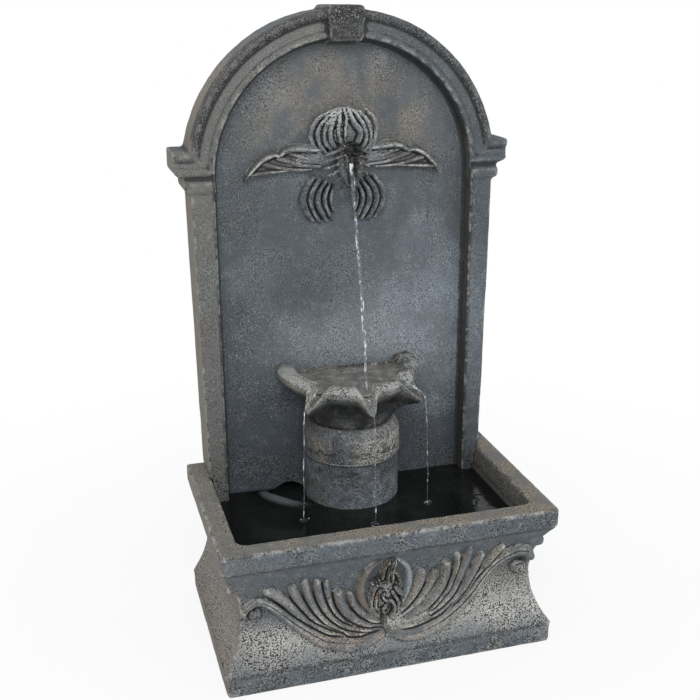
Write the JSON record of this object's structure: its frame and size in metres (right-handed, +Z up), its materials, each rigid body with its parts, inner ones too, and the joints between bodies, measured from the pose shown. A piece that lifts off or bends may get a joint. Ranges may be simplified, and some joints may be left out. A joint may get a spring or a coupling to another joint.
{
  "type": "garden wall fountain",
  "caption": "Classical wall fountain with an iris spout, a scalloped catch bowl on a half-drum pedestal, a coved basin and a pump inside.",
  "frame": {"origin": "middle of the footprint, on the ground under the basin's plinth", "axes": "+Z up, -Y towards the person who looks at the fountain, +X to their right, the wall at +Y"},
  "size_m": [0.46, 0.288, 0.838],
  "materials": {
    "basin_casting": "aged cast stone, brown and grey",
    "panel_casting": "aged cast stone, brown and grey",
    "pedestal_casting": "wet aged cast stone, grey",
    "bowl_casting": "wet aged cast stone, grey and tan",
    "seal_rubber": "black rubber",
    "stainless": "plain stainless steel",
    "brass": "plain brass",
    "clear_tube": "clear flexible plastic",
    "clip_plastic": "black plastic",
    "pump_plastic": "black plastic",
    "impeller_plastic": "white plastic",
    "magnet": "dark ferrite",
    "shaft_ceramic": "white ceramic",
    "core_steel": "varnished laminations",
    "winding": "enamelled copper wire"
  },
  "bodies": {
    "fountain": {"basin": "basin_casting", "back_panel": "panel_casting", "pedestal": "pedestal_casting", "catch_bowl": "bowl_casting", "bowl_gasket": "seal_rubber", "fixing_bolts": "stainless", "fixing_washers": "stainless", "threaded_inserts": "brass", "cord_grommet": "seal_rubber", "water_tube": "clear_tube", "tube_clips": "clip_plastic", "hose_clamps": "stainless", "spout_pipe": "brass", "spout_elbow": "pump_plastic", "pump_housing": "pump_plastic", "pump_end_cap": "pump_plastic", "pump_cover": "pump_plastic", "cover_seal": "seal_rubber", "impeller_shaft": "shaft_ceramic", "shaft_bushes": "seal_rubber", "stator_core": "core_steel", "stator_coil": "winding", "suction_cups": "seal_rubber", "cord_gland": "seal_rubber"},
    "rotor": {"impeller": "impeller_plastic", "rotor_magnet": "magnet"},
    "strainer_cage": {"strainer": "pump_plastic"},
    "dial": {"flow_dial": "clip_plastic"}
  },
  "joints": [
    {"name": "impeller_spin", "type": "hinge", "parent": "fountain", "child": "rotor", "pos_m": [0, 0.07, 0.075], "axis": [0, 1, 0], "continuous": true},
    {"name": "strainer_slide", "type": "slide", "parent": "fountain", "child": "strainer_cage", "axis": [0, -1, 0], "range_m": [0, 0.014]},
    {"name": "dial_turn", "type": "hinge", "parent": "strainer_cage", "child": "dial", "pos_m": [0, 0.031, 0.075], "axis": [0, 1, 0], "range_deg": [0, 90]}
  ]
}
